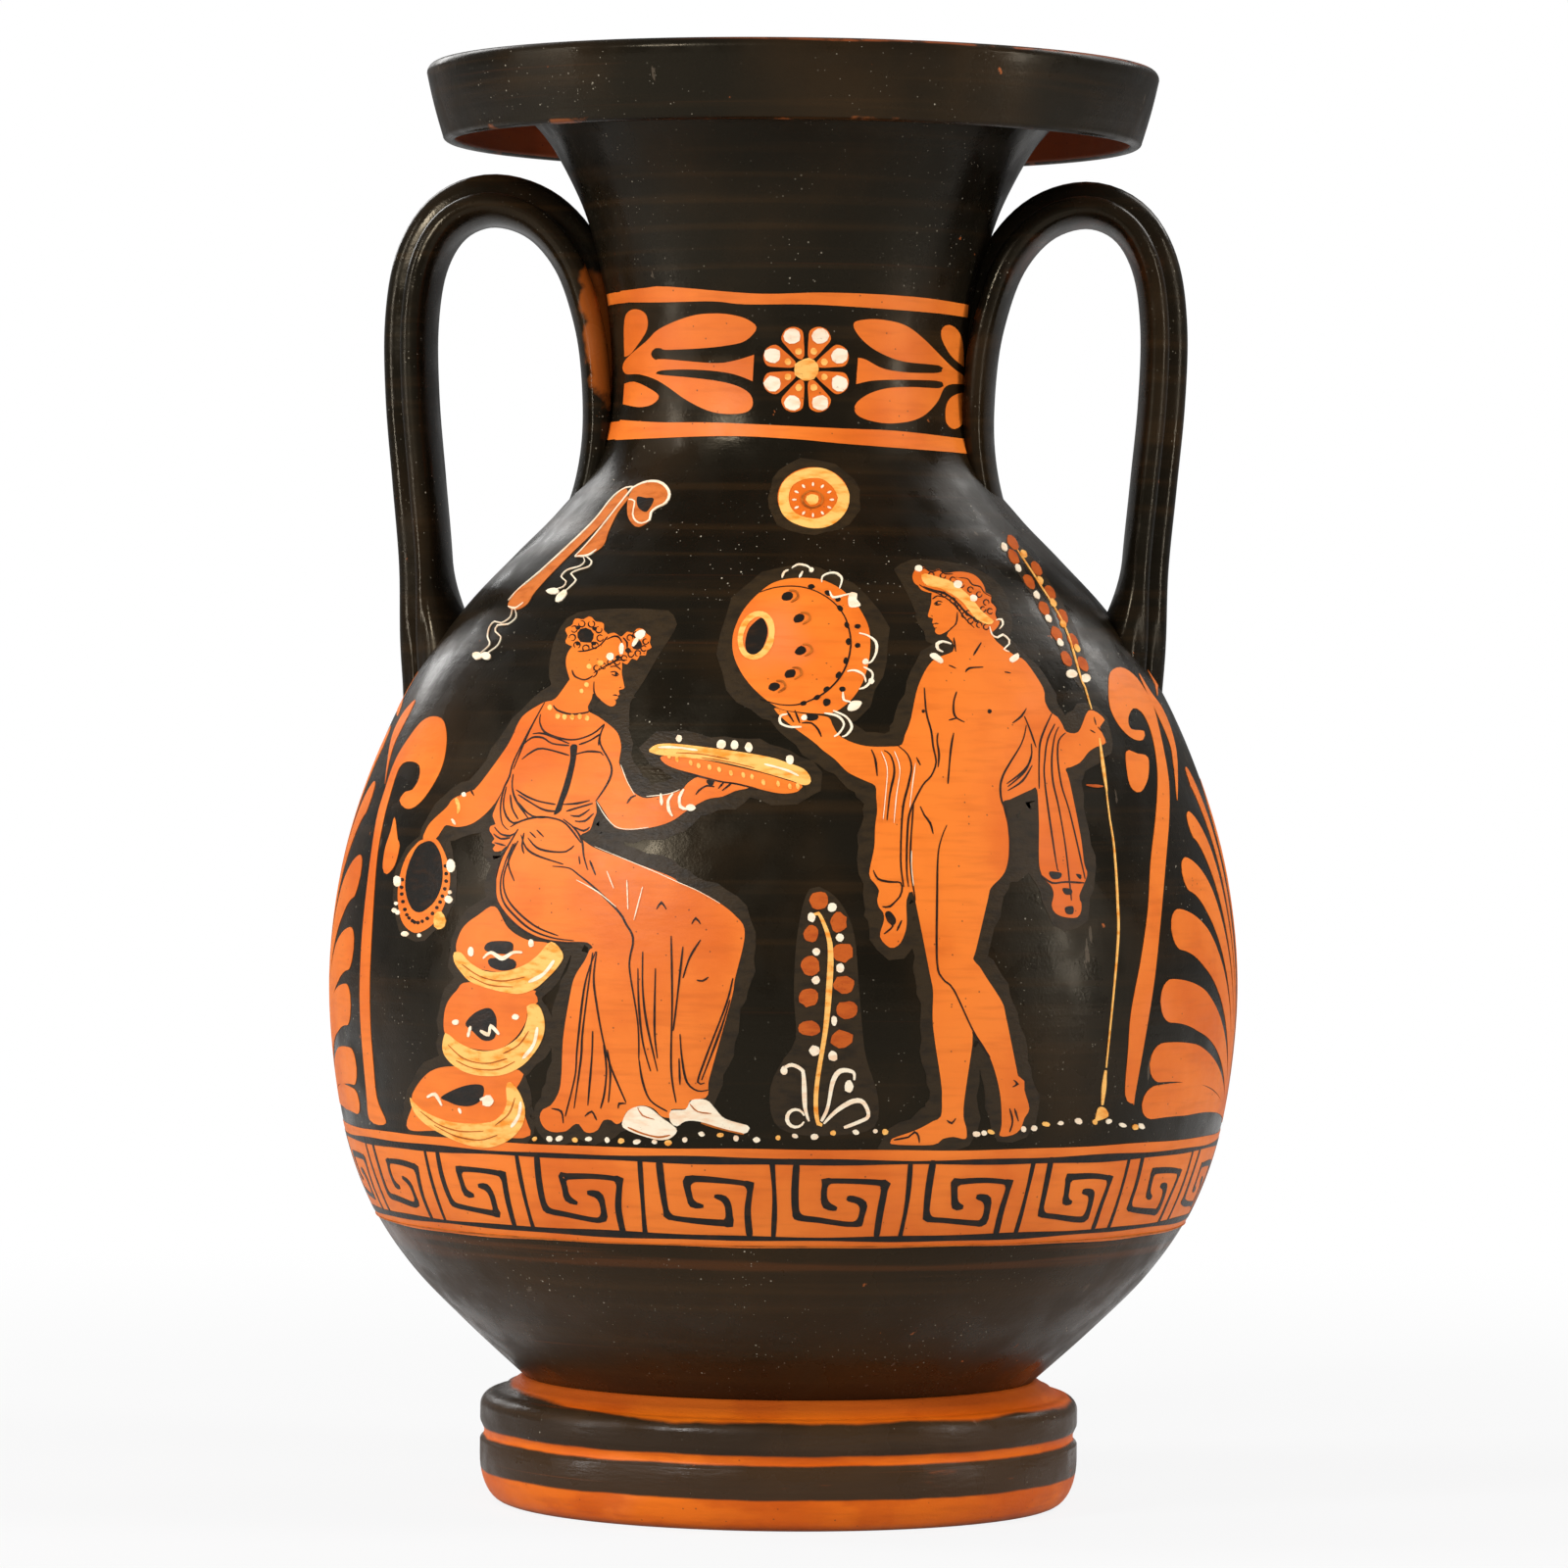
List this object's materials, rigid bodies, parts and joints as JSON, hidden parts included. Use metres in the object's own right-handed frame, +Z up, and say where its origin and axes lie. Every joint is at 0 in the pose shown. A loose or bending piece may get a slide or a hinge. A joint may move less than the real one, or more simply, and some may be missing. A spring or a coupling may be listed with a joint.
{
  "type": "pelike",
  "caption": "Red-figure pelike: a pear-shaped two-handled clay storage jar with a wide overhanging mouth, ridged strap handles and a stepped ring foot.",
  "frame": {"origin": "centre of the resting ring, on the surface the jar stands on", "axes": "+Z up along the turning axis; the handles lie along X; the main painted side faces -Y"},
  "size_m": [0.2406, 0.2406, 0.38],
  "materials": {
    "gloss_black": "satin black slip, worn brown in places",
    "reserved_clay": "smooth fired clay",
    "added_white": "matt raised slip paint",
    "added_yellow": "matt raised slip paint"
  },
  "bodies": {
    "root": {"foot": "reserved_clay", "lower_body": "gloss_black", "upper_body": "gloss_black", "neck": "gloss_black", "mouth_rim": "gloss_black", "left_handle": "gloss_black", "right_handle": "gloss_black"}
  },
  "joints": []
}
